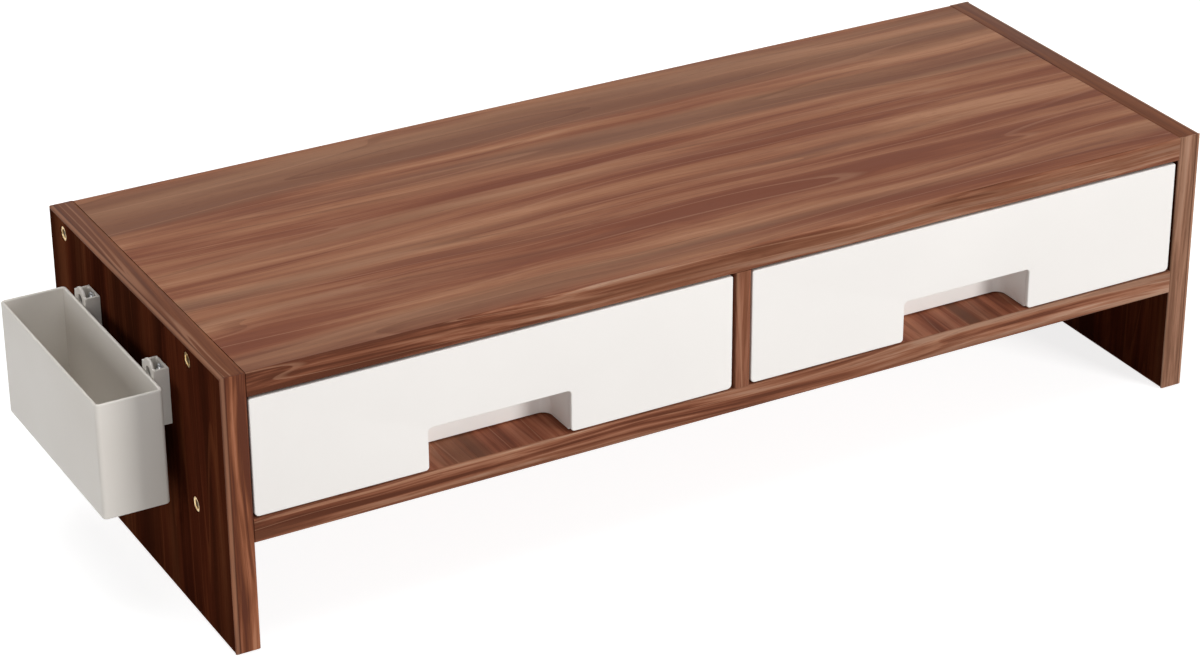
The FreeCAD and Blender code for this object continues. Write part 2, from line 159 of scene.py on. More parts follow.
class Outline:
    """Closed plane outline with rounded corners, which can be drawn inset by any distance."""

    def __init__(self, corners: Sequence[tuple[float, float, float]], steps: int = 6) -> None:
        """Finds each corner's arc: its centre, radius, first direction and turn.

        Args:
            corners: (a, b, radius) of each corner, counter-clockwise.
            steps: Points along each arc, less one.
        """
        table = np.asarray(corners, float)
        points = table[:, :2]
        incoming = points - np.roll(points, 1, 0)
        outgoing = np.roll(points, -1, 0) - points
        incoming /= np.linalg.norm(incoming, axis=1, keepdims=True)
        outgoing /= np.linalg.norm(outgoing, axis=1, keepdims=True)
        cross = incoming[:, 0] * outgoing[:, 1] - incoming[:, 1] * outgoing[:, 0]
        self.turn = np.arctan2(cross, (incoming * outgoing).sum(1))
        self.half = (math.pi - np.abs(self.turn)) / 2
        inward = outgoing - incoming
        self.inward = inward / np.linalg.norm(inward, axis=1, keepdims=True)
        self.sign = np.sign(self.turn)
        self.radius = table[:, 2]
        self.centre = points + self.inward * (self.radius / np.sin(self.half))[:, None]
        self.start = np.arctan2(-incoming[:, 0] * self.sign, incoming[:, 1] * self.sign)
        self.along = np.linspace(0.0, 1.0, steps + 1)

    def ring(self, inset: float = 0.0) -> np.ndarray:
        """Points of the outline moved inwards.

        Every arc keeps its centre and its radius changes by the inset. Where the radius is used up, the
        corner stays sharp and moves on along its bisector by the rest over the sine of half its angle.

        Args:
            inset: Distance inwards, or outwards where negative.

        Returns:
            Points as an (n, 2) array.
        """
        angle = self.start[:, None] + self.turn[:, None] * self.along
        left = self.radius - self.sign * inset
        centre = self.centre + self.inward * (np.maximum(-left, 0.0) / np.sin(self.half))[:, None]
        spokes = np.stack([np.cos(angle), np.sin(angle)], -1)
        return (centre[:, None, :] + np.maximum(left, 0.0)[:, None, None] * spokes).reshape(-1, 2)


def rectangle(a: tuple[float, float], b: tuple[float, float], radii: Sequence[float]) -> list[tuple]:
    """Corners of a rectangle, counter-clockwise from low a and low b.

    Args:
        a: Low and high end of the first coordinate.
        b: Low and high end of the second coordinate.
        radii: Radius of each corner.

    Returns:
        Corners for Outline.
    """
    return [(a[0], b[0], radii[0]), (a[1], b[0], radii[1]), (a[1], b[1], radii[2]), (a[0], b[1], radii[3])]


def grid_faces(rows: int, columns: int, closed: bool, first: int = 0) -> list[list[int]]:
    """Quads between the neighbours of a grid of points.

    Args:
        rows: Number of rows.
        columns: Number of points in a row.
        closed: Whether the last point of a row joins the first.
        first: Index of the grid's first point.

    Returns:
        Faces as lists of indices.
    """
    index = np.arange(first, first + rows * columns).reshape(rows, columns)
    here = index if closed else index[:, :-1]
    after = np.roll(index, -1, 1) if closed else index[:, 1:]
    return np.stack([here[:-1], after[:-1], after[1:], here[1:]], -1).reshape(-1, 4).tolist()


def loft(rings: np.ndarray) -> Skin:
    """Closed skin over a stack of rings, with a flat face on the first and on the last.

    Args:
        rings: Points as an (m, n, 3) array.

    Returns:
        The skin.
    """
    rows, columns, _ = rings.shape
    faces = grid_faces(rows, columns, True)
    faces.append(list(range(columns)))
    faces.append(list(range((rows - 1) * columns, rows * columns)))
    return Skin(rings.reshape(-1, 3), faces)


def quarter(radius: float, steps: int) -> np.ndarray:
    """Quarter circle that rounds an edge: the inset falls by 1 - sine as the rise grows by 1 - cosine.

    Args:
        radius: Radius of the rounding.
        steps: Number of steps.

    Returns:
        (inset, rise) rows.
    """
    angle = np.linspace(0.0, math.pi / 2, steps + 1)
    return radius * np.stack([1 - np.sin(angle), 1 - np.cos(angle)], 1)


def eased_ends(low: float, high: float, ease: float, steps: int = 4) -> np.ndarray:
    """Inset and place of each ring along a bar whose ends are rounded by a quarter circle.

    Args:
        low: Place of the first end.
        high: Place of the last end.
        ease: Radius of the rounding.
        steps: Rings in each rounding, less one.

    Returns:
        (inset, place) rows.
    """
    arc = quarter(ease, steps)
    return np.concatenate([arc + (0.0, low), (arc * (1.0, -1.0) + (0.0, high))[::-1]])


def carried(outline: Outline, stations: np.ndarray, axis: Axis) -> Skin:
    """Skin of an outline carried along an axis, inset by each station's own amount.

    Args:
        outline: The section.
        stations: (inset, place) rows.
        axis: Direction that the section is carried along.

    Returns:
        The skin.
    """
    plane = np.stack([outline.ring(inset) for inset, _ in stations])
    rings = np.empty((*plane.shape[:2], 3))
    first, second, along = axis.value
    rings[..., first] = plane[..., 0]
    rings[..., second] = plane[..., 1]
    rings[..., along] = stations[:, 1][:, None]
    return loft(rings)


def bar(spans: Sequence[tuple[float, float]], axis: Axis, radii: Sequence[float], ease: float) -> Skin:
    """Bar with its four long edges rounded each to its own radius and its ends eased.

    Args:
        spans: Low and high end along x, y and z.
        axis: The bar's own direction.
        radii: Radii of the long edges, in the order of rectangle.
        ease: Rounding of the ends, no larger than the smallest radius.

    Returns:
        The skin.
    """
    first, second, along = axis.value
    section = Outline(rectangle(spans[first], spans[second], radii), 5)
    return carried(section, eased_ends(*spans[along], ease, 3), axis)


def revolved(profile: np.ndarray, around: int) -> np.ndarray:
    """Rings of a profile turned about x: radius times cosine in y and times sine in z.

    Args:
        profile: (radius, x) rows.
        around: Points in each ring.

    Returns:
        Points as an (m, n, 3) array.
    """
    angle = np.arange(around) * (2 * math.pi / around)
    radius = profile[:, 0][:, None]
    rings = np.empty((len(profile), around, 3))
    rings[..., 0] = profile[:, 1][:, None]
    rings[..., 1] = radius * np.cos(angle)
    rings[..., 2] = radius * np.sin(angle)
    return rings


# Finishes


def linear(colour: str) -> tuple[float, float, float, float]:
    """Linear colour of an sRGB hex value.

    Args:
        colour: Six hex digits.

    Returns:
        Red, green, blue and 1.
    """
    parts = [int(colour[i : i + 2], 16) / 255 for i in (0, 2, 4)]
    red, green, blue = (v / 12.92 if v <= 0.04045 else ((v + 0.055) / 1.055) ** 2.4 for v in parts)
    return red, green, blue, 1.0


def add_node(
    tree: bpy.types.NodeTree,
    kind: str,
    inputs: dict | None = None,
    stops: Sequence[tuple[float, str]] = (),
    out: int | str = 0,
    **settings: object,
) -> bpy.types.NodeSocket | None:
    """Adds a node with its settings, links and, for a ramp, its stops.

    Args:
        tree: Tree that gets the node.
        kind: Blender's name of the node type, without ShaderNode.
        inputs: Value or output socket for each input, by name or index.
        stops: (place, hex colour) rows of a colour ramp.
        out: Name or index of the wanted output.
        **settings: The node's own properties.

    Returns:
        The wanted output, or nothing for a node that ends the tree.
    """
    made = tree.nodes.new("ShaderNode" + kind)
    for name, value in settings.items():
        setattr(made, name, value)
    for name, value in (inputs or {}).items():
        if isinstance(value, bpy.types.NodeSocket):
            tree.links.new(value, made.inputs[name])
        else:
            made.inputs[name].default_value = value
    if stops:
        elements = made.color_ramp.elements
        while len(elements) < len(stops):
            elements.new(0.5)
        for element, (place, colour) in zip(elements, stops):
            element.position = place
            element.color = linear(colour)
    return made.outputs[out] if made.outputs else None


def emptied(owner: bpy.types.Material | bpy.types.World) -> bpy.types.NodeTree:
    """Node tree of a material or a world, with nothing in it.

    Args:
        owner: The material or world.

    Returns:
        Its tree.
    """
    owner.use_nodes = True
    owner.node_tree.nodes.clear()
    return owner.node_tree


def new_tree(name: str) -> tuple[bpy.types.Material, bpy.types.NodeTree, bpy.types.NodeSocket]:
    """Empty material with its tree and the object coordinates that its patterns are laid out in.

    Args:
        name: Name of the material.

    Returns:
        The material, its tree and the coordinates.
    """
    material = bpy.data.materials.new(name)
    tree = emptied(material)
    return material, tree, add_node(tree, "TexCoord", out="Object")


def finish_with(tree: bpy.types.NodeTree, inputs: dict) -> None:
    """Ends a tree with the shader and the output.

    Args:
        tree: The material's tree.
        inputs: The shader's values and links.
    """
    shader = add_node(tree, "BsdfPrincipled", inputs)
    add_node(tree, "OutputMaterial", {"Surface": shader})


def per_metre(along: float, across: float) -> tuple[float, float, float]:
    """Mapping scale of a pattern whose features have these real lengths.

    Args:
        along: Length along the grain in millimetres.
        across: Width across the grain in millimetres.

    Returns:
        Scale along the grain and across it, twice.
    """
    return 1000 / along, 1000 / across, 1000 / across


# Places of the five tones about the middle of the cloud pattern, and the pattern's share of fine fibres
TONE_STEPS = (-0.12, -0.05, 0.0, 0.06, 0.14)
FIBRES = 0.13
# Shares of a tint over a pattern's value. Growth lines go over one turn of the figure: a dark one with a
# sharp and a soft side, then a light one, and each is seen over a part of its length only
HEARTWOOD = ((0.47, "000000"), (0.62, "CCCCCC"))
DARK_LINE = ((0.0, "FFFFFF"), (0.05, "FFFFFF"), (0.14, "606060"), (0.5, "000000"), (0.98, "000000"))
DARK_SEEN = ((0.42, "000000"), (0.60, "9C9C9C"))
LIGHT_LINE = ((0.86, "000000"), (0.93, "FFFFFF"), (0.97, "FFFFFF"), (0.985, "000000"))
LIGHT_SEEN = ((0.45, "A8A8A8"), (0.62, "000000"))
PORES = ((0.62, "000000"), (0.72, "8A8A8A"))
# Widths in millimetres of the dark line of a seam and of the painted highlight beside it, where the rounded
# arris would catch the light, and the distance of a side band's seam from the panel's outer face
SEAM_DARK = 0.5
SEAM_HIGHLIGHT = 1.0
SEAM_IN = 2.0


class Grain(Enum):
    """Direction of the wood grain, as the turn that lays it along the pattern's first axis."""

    ALONG_X = (0.0, 0.0, 0.0)
    ALONG_Y = (0.0, 0.0, -math.pi / 2)
    ALONG_Z = (0.0, math.pi / 2, 0.0)


@dataclass(frozen=True)
class WalnutFoil:
    """Walnut-print foil on board: satin, with broad clouds, flowing growth lines and short dark pores.

    The place of the pattern is in metres, as object coordinates are.
    """

    name: str
    grain: Grain
    place: tuple[float, float, float]
    tones: tuple[str, str, str, str, str]
    line: str = "4A2618"
    # Tint of the pale growth lines, and of the painted highlight beside a seam
    pale_grain_and_highlight: str = "B4866A"
    ash: str = "70513A"
    figure_length: float = 640.0
    figure_width: float = 34.0
    growth_lines: float = 9.0
    waver: float = 9.0
    drift: float = 0.0
    ash_drift: float = 0.0
    clouds: float = 0.8
    streaks: float = 0.26
    seam: float = 0.0
    roughness: float = 0.5
    specular: float = 0.08

    def patterns(self, tree: bpy.types.NodeTree, turned: bpy.types.NodeSocket) -> dict:
        """Noises stretched along the grain, which wavers by a few millimetres over a hand's length.

        Args:
            tree: The material's tree.
            turned: Coordinates with the grain along their first axis.

        Returns:
            Value of each pattern, by name.
        """
        slow = add_node(tree, "Mapping", {"Vector": turned, "Scale": per_metre(240.0, 70.0)})
        waver = add_node(tree, "TexNoise", {"Vector": slow, "Scale": 1.0, "Detail": 2.0}, out="Color")
        waver = add_node(tree, "VectorMath", {0: waver, 1: (0.5, 0.5, 0.5)}, operation="SUBTRACT")
        reach = (0.0, 2 * self.waver / 1000, 2 * self.waver / 1000)
        waver = add_node(tree, "VectorMath", {0: waver, 1: reach}, operation="MULTIPLY")
        bent = add_node(tree, "VectorMath", {0: turned, 1: waver}, operation="ADD")
        length, width = self.figure_length, self.figure_width
        values = {}
        # Name, length and width of a feature in millimetres, detail and roughness
        for name, along, across, detail, rough in (
            ("figure", length, width, 1.2, 0.5),
            ("cloud", length * 0.45, width * 0.42, 1.8, 0.5),
            ("streak", 110.0, 2.6, 3.0, 0.6),
            ("fibre", 38.0, 0.8, 2.0, 0.6),
            ("ash", length * 0.9, width * 0.8, 2.0, 0.5),
            ("patch", 150.0, 14.0, 2.0, 0.5),
            # A walnut pore is a few tenths of a millimetre wide, and drawn wide enough to show
            ("pore", 8.0, 0.5, 1.0, 0.5),
        ):
            scaled = add_node(tree, "Mapping", {"Vector": bent, "Scale": per_metre(along, across)})
            settings = {"Vector": scaled, "Scale": 1.0, "Detail": detail, "Roughness": rough}
            values[name] = add_node(tree, "TexNoise", settings)
        return values

    def material(self) -> bpy.types.Material:
        """Builds the foil's material.

        Returns:
            The material.
        """
        material, tree, coordinates = new_tree(self.name)
        turn = {"Vector": coordinates, "Rotation": self.grain.value, "Location": self.place}
        turned = add_node(tree, "Mapping", turn)
        value = self.patterns(tree, turned)
        placed = add_node(tree, "VectorMath", {0: turned, 1: self.place}, operation="SUBTRACT")
        along, across, _ = add_node(tree, "SeparateXYZ", {0: placed}).node.outputs
        # Broad clouds of early and late wood, with streaks and a fine brush of fibres on them, and a drift
        # along the grain, which on the long bands paints a sheen growing towards the right
        shares = {"cloud": self.clouds, "streak": self.streaks, "fibre": FIBRES}
        tone = 0.0
        for part, share in (*((value[name], share) for name, share in shares.items()), (along, self.drift)):
            tone = add_node(tree, "Math", {0: part, 1: share, 2: tone}, operation="MULTIPLY_ADD")
        middle = sum(shares.values()) / 2
        stops = [(middle + step, shade) for step, shade in zip(TONE_STEPS, self.tones)]
        colour = add_node(tree, "ValToRGB", {0: tone}, stops=stops)
        # Greyer heartwood between the red clouds, growth lines on the figure's level lines, and pores
        grey = add_node(
            tree, "Math", {0: across, 1: self.ash_drift, 2: value["ash"]}, operation="MULTIPLY_ADD"
        )
        turns = add_node(tree, "Math", {0: value["figure"], 1: self.growth_lines}, operation="MULTIPLY")
        rings = add_node(tree, "Math", {0: turns}, operation="FRACT")
        for pattern, shape, seen, tint in (
            (grey, HEARTWOOD, None, self.ash),
            (rings, DARK_LINE, DARK_SEEN, self.line),
            (rings, LIGHT_LINE, LIGHT_SEEN, self.pale_grain_and_highlight),
            (value["pore"], PORES, None, self.line),
        ):
            share = add_node(tree, "ValToRGB", {0: pattern}, stops=shape)
            if seen:
                part = add_node(tree, "ValToRGB", {0: value["patch"]}, stops=seen)
                share = add_node(tree, "Math", {0: share, 1: part}, operation="MULTIPLY")
            colour = add_node(tree, "Mix", {0: share, 6: colour, 7: linear(tint)}, data_type="RGBA", out=2)
        # The last share is that of the pores, which lie below the fibres
        relief = add_node(tree, "Math", {0: share, 1: -1.0, 2: value["fibre"]}, operation="MULTIPLY_ADD")
        bump = add_node(tree, "Bump", {"Height": relief, "Strength": 0.25, "Distance": 0.00005})
        span = {0: value["streak"], 1: 0.3, 2: 0.7, 3: self.roughness - 0.05, 4: self.roughness + 0.06}
        shine = {
            "Base Color": self.seam_and_painted_highlight(tree, coordinates, colour) if self.seam else colour,
            "Roughness": add_node(tree, "MapRange", span),
            "Specular IOR Level": self.specular,
            "Normal": bump,
        }
        finish_with(tree, shine)
        return material

    def seam_and_painted_highlight(
        self, tree: bpy.types.NodeTree, coordinates: bpy.types.NodeSocket, colour: bpy.types.NodeSocket
    ) -> bpy.types.NodeSocket:
        """Colour with a dark seam and a painted highlight beside it, where the rounded arris would catch the
        light, both at a set distance from the middle.

        Args:
            tree: The material's tree.
            coordinates: The object's coordinates.
            colour: Colour of the foil.

        Returns:
            The colour.
        """
        x = add_node(tree, "SeparateXYZ", {0: coordinates})
        middle = Layout().shift[0] / 1000
        away = add_node(tree, "Math", {0: x, 1: middle}, operation="SUBTRACT")
        away = add_node(tree, "Math", {0: away}, operation="ABSOLUTE")
        dark = (self.seam, SEAM_DARK, self.line, 0.8)
        # The light line is a painted highlight on the rounded arris
        light = (self.seam + SEAM_HIGHLIGHT, SEAM_HIGHLIGHT, self.pale_grain_and_highlight, 0.35)
        for place, width, tint, most in (dark, light):
            gap = add_node(tree, "Math", {0: away, 1: place / 1000}, operation="SUBTRACT")
            gap = add_node(tree, "Math", {0: gap}, operation="ABSOLUTE")
            span = {0: gap, 1: width / 2000, 2: width / 900, 3: most, 4: 0.0}
            share = add_node(tree, "MapRange", span)
            colour = add_node(tree, "Mix", {0: share, 6: colour, 7: linear(tint)}, data_type="RGBA", out=2)
        return colour


@dataclass(frozen=True)
class MouldedPlastic:
    """Injection-moulded plastic with a fine matt grain from its mould."""

    name: str
    light: str
    deep: str
    grit: float = 0.45
    flow: float = 80.0
    depth: float = 0.02
    roughness: float = 0.46

    def material(self) -> bpy.types.Material:
        """Builds the plastic's material.

        Returns:
            The material.
        """
        material, tree, coordinates = new_tree(self.name)
        grit, flow = (
            add_node(tree, "TexNoise", {"Vector": coordinates, "Scale": 1000 / size, "Detail": 2.0})
            for size in (self.grit, self.flow)
        )
        # Flow of the melt: faint patches the width of a hand
        colour = add_node(tree, "ValToRGB", {0: flow}, stops=[(0.3, self.deep), (0.7, self.light)])
        span = {0: grit, 1: 0.3, 2: 0.7, 3: self.roughness - 0.05, 4: self.roughness + 0.05}
        rough = add_node(tree, "MapRange", span)
        bump = add_node(tree, "Bump", {"Height": grit, "Strength": 0.35, "Distance": self.depth / 1000})
        finish_with(tree, {"Base Color": colour, "Roughness": rough, "IOR": 1.49, "Normal": bump})
        return material


@dataclass(frozen=True)
class PlatedSteel:
    """Steel with a zinc plating, faintly mottled, with a fine tooth from the bath."""

    name: str
    light: str
    deep: str
    roughness: float = 0.3
    mottle: float = 1.5
    tooth: float = 0.25

    def material(self) -> bpy.types.Material:
        """Builds the plated steel's material.

        Returns:
            The material.
        """
        material, tree, coordinates = new_tree(self.name)
        mottle, tooth = (
            add_node(tree, "TexNoise", {"Vector": coordinates, "Scale": 1000 / size, "Detail": detail})
            for size, detail in ((self.mottle, 3.0), (self.tooth, 1.0))
        )
        colour = add_node(tree, "ValToRGB", {0: mottle}, stops=[(0.35, self.deep), (0.65, self.light)])
        span = {0: mottle, 1: 0.3, 2: 0.7, 3: self.roughness - 0.08, 4: self.roughness + 0.1}
        rough = add_node(tree, "MapRange", span)
        bump = add_node(tree, "Bump", {"Height": tooth, "Strength": 0.2, "Distance": 0.00002})
        finish_with(tree, {"Base Color": colour, "Roughness": rough, "Metallic": 1.0, "Normal": bump})
        return material


@dataclass(frozen=True)
class ClosedCellFoam:
    """Dark closed-cell foam, whose cut cells show as fine pits."""

    name: str
    light: str
    deep: str
    cell: float = 0.5

    def material(self) -> bpy.types.Material:
        """Builds the foam's material.

        Returns:
            The material.
        """
        material, tree, coordinates = new_tree(self.name)
        cells = add_node(tree, "TexVoronoi", {"Vector": coordinates, "Scale": 1000 / self.cell})
        colour = add_node(tree, "ValToRGB", {0: cells}, stops=[(0.1, self.deep), (0.6, self.light)])
        bump = add_node(tree, "Bump", {"Height": cells, "Strength": 0.6, "Distance": 0.0001})
        finish_with(tree, {"Base Color": colour, "Roughness": 0.95, "Normal": bump})
        return material


# What foils share: dark tones that paint shade on the side and back panels, tones of the shelf and divider,
# and the side bands' figure and seam with its painted highlight
SHADE_TONES = ("38170D", "411C10", "4B2113", "562917", "623520")
SHELF_TONES = ("74402D", "844A34", "94573F", "A2644A", "B07357")
SIDE_BAND = {
    "figure_width": 10.0,
    "clouds": 0.5,
    "growth_lines": 3.0,
    "seam": Layout().half_width - SEAM_IN,
}


class Finish(Enum):
    """The finishes of the stand, each with what it is made of."""

    # Calm red-brown clouds with greyer heartwood towards the back
    TOP = WalnutFoil(
        "walnut_foil_top",
        Grain.ALONG_X,
        (0.03, 0.21, 0.0),
        ("76422E", "834E37", "905D44", "9C6A4E", "AE7D60"),
        line="5A3222",
        pale_grain_and_highlight="A87C62",
        ash="7C5A46",
        ash_drift=0.7,
    )
    # The shelf's grain runs front to back, as the pockets show
    SHELF = WalnutFoil(
        "walnut_foil_shelf",
        Grain.ALONG_Y,
        (0.4, 0.65, 0.3),
        SHELF_TONES,
        line="5A3222",
        ash="74503C",
        figure_width=20.0,
    )
    DIVIDER = WalnutFoil("walnut_foil_divider", Grain.ALONG_Z, (0.7, 0.15, 0.6), SHELF_TONES)
    # Painted shade: a darkened copy of the walnut foil for the side panels' faces, without a haze of
    # reflected room
    SIDE = WalnutFoil(
        "walnut_foil_side",
        Grain.ALONG_Z,
        (1.3, 0.35, 0.2),
        SHADE_TONES,
        line="240D06",
        pale_grain_and_highlight="6B3A22",
        ash="3A1C10",
        specular=0.0,
    )
    # The back panel takes the same dark tones, painted shade as on the side panels
    BACK = WalnutFoil(
        "walnut_foil_back_board",
        Grain.ALONG_X,
        (2.1, 0.85, 0.9),
        SHADE_TONES,
        line="200B04",
        pale_grain_and_highlight="6B3A22",
        ash="3A2012",
    )
    # Long streaks that grow paler towards the right, with a pale top tone: painted sheen of the light from
    # the right
    LONG_BAND = WalnutFoil(
        "walnut_band_long",
        Grain.ALONG_X,
        (3.35, 0.5, 0.1),
        ("59301F", "6F3F2B", "87543D", "9B6A51", "B28C75"),
        ash="704631",
        figure_width=16.0,
        drift=0.35,
        clouds=0.6,
        streaks=0.6,
    )
    # Narrow upright streaks, darkest and reddest on the left band and palest on the right one: painted
    # fall-off and sheen of the light from the right
    LEFT_BAND = WalnutFoil(
        "walnut_band_left",
        Grain.ALONG_Z,
        (1.7, 0.1, 0.4),
        ("5A3020", "714029", "885238", "9C6246", "B27B5D"),
        ash="5E2F1F",
        drift=-0.6,
        streaks=0.75,
        **SIDE_BAND,
    )
    # Paler tones than the left band's: painted sheen of the light from the right
    RIGHT_BAND = WalnutFoil(
        "walnut_band_right",
        Grain.ALONG_Z,
        (2.7, 0.3, 0.9),
        ("6F4B39", "7F5944", "8F6650", "9F765F", "B08871"),
        ash="8C6852",
        streaks=0.7,
        **SIDE_BAND,
    )
    # Tones between the left and right bands', part of the painted light from the right
    MIDDLE_BAND = WalnutFoil(
        "walnut_band_middle",
        Grain.ALONG_Z,
        (0.6, 0.8, 0.4),
        ("643B29", "754831", "875640", "98654D", "A8755B"),
        ash="7A4A34",
        clouds=0.4,
        streaks=0.7,
    )
    TOP_STRIP = WalnutFoil(
        "walnut_band_top_strip",
        Grain.ALONG_Y,
        (0.2, 0.4, 0.8),
        ("522B1A", "603521", "6E4029", "7C4B31", "8A573B"),
        ash="6A3F2A",
        streaks=0.45,
        **SIDE_BAND,
    )
    # Warm white and warm light grey, matt
    WHITE = MouldedPlastic("white_abs_moulded", "F1EDE9", "EEEAE6")
    GREY = MouldedPlastic("grey_abs_moulded", "E2DDD6", "DCD6CE")
    # Yellow chromate over zinc, painted shade that darkens the screw sockets' recess, and plain zinc
    GOLD = PlatedSteel("yellow_zinc_plated_steel", "F0D8A8", "CFA76A")
    SOCKET_SHADE = PlatedSteel("socket_painted_shade", "4A3A28", "2E2418", 0.5)
    ZINC = PlatedSteel("clear_zinc_plated_steel", "D2D4D6", "B4B7BA")
    FOAM = ClosedCellFoam("closed_cell_foam", "3A3A3A", "1E1E1E")


# Bench that turns surfaces into pieces


def linked(name: str, data: bpy.types.ID) -> bpy.types.Object:
    """New object in the scene.

    Args:
        name: Name of the object.
        data: Its mesh, light or camera.

    Returns:
        The object.
    """
    made = bpy.data.objects.new(name, data)
    bpy.context.scene.collection.objects.link(made)
    return made


@dataclass
class Bench:
    """Makes meshes of skins, gives them their finish, hangs them on their bodies and hides the CAD nodes they
    stand for.
    """

    frame: dict
    layout: Layout
    finishes: dict[Finish, bpy.types.Material] = field(default_factory=dict)

    def finish(self, finish: Finish) -> bpy.types.Material:
        """Material of a finish, made at its first use.

        Args:
            finish: The finish.

        Returns:
            The material.
        """
        if finish not in self.finishes:
            self.finishes[finish] = finish.value.material()
        return self.finishes[finish]

    def mesh(self, name: str, skins: Iterable[Skin], crease: float) -> bpy.types.Mesh:
        """One mesh of several closed skins, each merged and turned outwards by itself.

        Args:
            name: Name of the mesh.
            skins: The closed surfaces.
            crease: Angle in degrees past which an edge stays sharp.

        Returns:
            The mesh, in metres and at its place in the frame.
        """
        whole = bmesh.new()
        for skin in skins:
            part = bpy.data.meshes.new("part")
            part.from_pydata(((skin.points + self.layout.shift) / 1000).tolist(), [], skin.faces)
            closed = bmesh.new()
            closed.from_mesh(part)
            bmesh.ops.remove_doubles(closed, verts=closed.verts, dist=2e-6)
            bmesh.ops.dissolve_degenerate(closed, edges=closed.edges, dist=1e-7)
            bmesh.ops.recalc_face_normals(closed, faces=closed.faces)
            closed.to_mesh(part)
            closed.free()
            whole.from_mesh(part)
            bpy.data.meshes.remove(part)
        mesh = bpy.data.meshes.new(name)
        whole.to_mesh(mesh)
        whole.free()
        mesh.shade_smooth()
        mesh.set_sharp_from_angle(angle=math.radians(crease))
        return mesh

    def add(
        self,
        name: str,
        skins: Iterable[Skin],
        finish: Finish,
        body: str,
        node: str,
        slot: str,
        crease: float = 40.0,
    ) -> None:
        """Makes a piece that stands for a CAD node.

        Args:
            name: Name of the piece.
            skins: Its closed surfaces.
            finish: Its finish.
            body: The body that it rides on.
            node: The CAD node that it stands for.
            slot: The record's material slot; not used.
            crease: Angle in degrees past which an edge stays sharp.
        """
        mesh = self.mesh(name, skins, crease)
        mesh.materials.append(self.finish(finish))
        piece = linked(name, mesh)
        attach(piece, body)
        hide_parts(node)
        LOG.info("%s: %d faces in %s on %s", name, len(mesh.polygons), finish.value.name, body)

    def dress(self, node: str, finish: Finish, ease: float = 0.0) -> None:
        """Gives a CAD node its finish, and softens its edges where ease is given.

        Args:
            node: Name of the node.
            finish: Its finish.
            ease: Width of the softened edges in millimetres.
        """
        piece = self.frame["nodes"][node]
        piece.data.materials.clear()
        piece.data.materials.append(self.finish(finish))
        if ease:
            weld = piece.modifiers.new("weld", "WELD")
            weld.merge_threshold = 1e-6
            bevel = piece.modifiers.new("ease", "BEVEL")
            bevel.width = ease / 1000
            bevel.segments = 2
            bevel.limit_method = "ANGLE"
            bevel.angle_limit = math.radians(40)
            bevel.harden_normals = True
        LOG.info("%s: CAD node in %s", node, finish.value.name)


# Sub-assemblies


@dataclass(frozen=True)
class Assembly:
    """What every sub-assembly has: the sizes that all share, and the bench that its pieces are made on."""

    layout: Layout
    bench: Bench


@dataclass(frozen=True)
class BoardWork(Assembly):
    """The boards with the bands glued on their cut edges, and the thin back panel."""

    round_edge: float = 0.9
    glue_edge: float = 0.14

    def strip(self, x: tuple, y: tuple, z: tuple, axis: Axis, outward: Sequence[float]) -> Skin:
        """Edge band with its two outer long edges rounded and the glued ones barely eased.

        Args:
            x: Ends along x.
            y: Ends along y.
            z: Ends along z.
            axis: The band's length.
            outward: Direction away from the board.

        Returns:
            The skin.
        """
        first, second, _ = axis.value
        a, b = outward[first], outward[second]
        corners = ((-1, -1), (1, -1), (1, 1), (-1, 1))
        radii = [self.round_edge if a * i + b * j > 0 else self.glue_edge for i, j in corners]
        return bar((x, y, z), axis, radii, self.glue_edge)

    def edge(self, way: int) -> tuple[float, float]:
        """Ends along y of the bands at the front, where way is -1, or at the rear, where it is 1."""
        half = self.layout.depth / 2
        return tuple(sorted((way * half, way * (half - self.layout.band))))

    def level_bands(self, z: tuple[float, float]) -> list[Skin]:
        """Front and rear band of a board between the side panels.

        Args:
            z: Lower and upper face of the board.

        Returns:
            Both bands.
        """
        x = (-self.layout.inner_half, self.layout.inner_half)
        return [self.strip(x, self.edge(way), z, Axis.X, (0, way, 0)) for way in (-1, 1)]

    def side_bands(self, side: float) -> tuple[list[Skin], list[Skin]]:
        """Upright bands of a side panel, and the level ones along its top and bottom.

        Args:
            side: -1 for the left panel and 1 for the right one.

        Returns:
            The upright bands and the level ones.
        """
        size = self.layout
        x = tuple(sorted((side * size.inner_half, side * size.half_width)))
        inside = (size.front + size.band, -size.front - size.band)
        z = (0.0, size.height)
        upright = [self.strip(x, self.edge(way), z, Axis.Z, (0, way, 0)) for way in (-1, 1)]
        level = [
            self.strip(x, inside, (size.height - size.band, size.height), Axis.Y, (0, 0, 1)),
            self.strip(x, inside, (0.0, size.band), Axis.Y, (0, 0, -1)),
        ]
        return upright, level

    def build(self) -> None:
        """Dresses the boards and makes their bands."""
        size = self.layout
        self.bench.dress("top_board", Finish.TOP)
        self.bench.dress("drawer_shelf", Finish.SHELF)
        self.bench.dress("centre_divider", Finish.DIVIDER)
        self.bench.dress("back_panel", Finish.BACK)
        top = self.level_bands((size.bay_top, size.height))
        shelf = self.level_bands((size.clear_under, size.shelf_top))
        self.bench.add("top_bands", top, Finish.LONG_BAND, "stand", "top_board_bands", "walnut_band")
        self.bench.add("shelf_bands", shelf, Finish.LONG_BAND, "stand", "drawer_shelf_bands", "walnut_band")
        half = size.divider / 2
        front = self.strip((-half, half), self.edge(-1), (size.shelf_top, size.bay_top), Axis.Z, (0, -1, 0))
        self.bench.add("divider_edge", [front], Finish.MIDDLE_BAND, "stand", "divider_band", "walnut_band")
        for name, side in SIDES.items():
            self.bench.dress(f"side_panel_{name}", Finish.SIDE)
            upright, level = self.side_bands(side)
            node = f"side_bands_{name}"
            band = Finish.LEFT_BAND if side < 0 else Finish.RIGHT_BAND
            self.bench.add(f"upright_bands_{name}", upright, band, "stand", node, "walnut_band")
            self.bench.add(f"level_bands_{name}", level, Finish.TOP_STRIP, "stand", node, "walnut_band")


